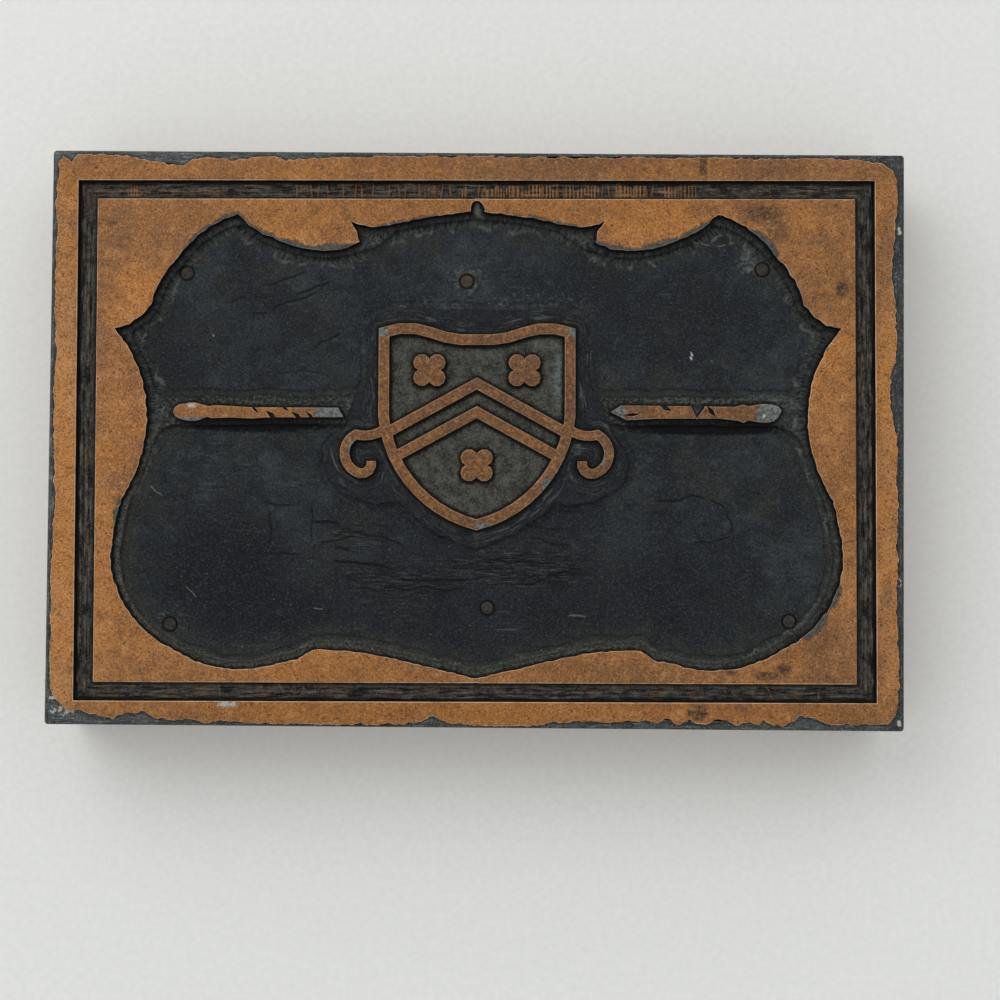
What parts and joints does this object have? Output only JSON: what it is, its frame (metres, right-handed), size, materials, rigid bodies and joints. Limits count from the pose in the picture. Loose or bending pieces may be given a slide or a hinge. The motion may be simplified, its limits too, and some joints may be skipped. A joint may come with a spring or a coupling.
{
  "type": "letterpress printing block",
  "caption": "Rectangular letterpress block: a copper-faced plate with a bordered panel, a routed cartouche, a shield ornament and side bars, nailed onto a hardwood mount.",
  "frame": {"origin": "centre of the wooden mount's underside", "axes": "+X along the long side towards the right edge of the face as pictured, +Y towards its top edge, +Z out of the printing face"},
  "size_m": [0.152, 0.1024, 0.0233],
  "materials": {
    "mount_wood": "oiled, worn",
    "backing_lead": "dark lead alloy under a film of printing ink",
    "copper_skin": "mottled, tarnished copper",
    "nail_iron": "rusted, inked"
  },
  "bodies": {
    "root": {"wood_mount": "mount_wood", "backing_metal": "backing_lead", "border_shell": "copper_skin", "crest_shell": "copper_skin", "left_bar_shell": "copper_skin", "right_bar_shell": "copper_skin", "nail_top_left": "nail_iron", "nail_top_middle": "nail_iron", "nail_top_right": "nail_iron", "nail_bottom_left": "nail_iron", "nail_bottom_middle": "nail_iron", "nail_bottom_right": "nail_iron"}
  },
  "joints": []
}
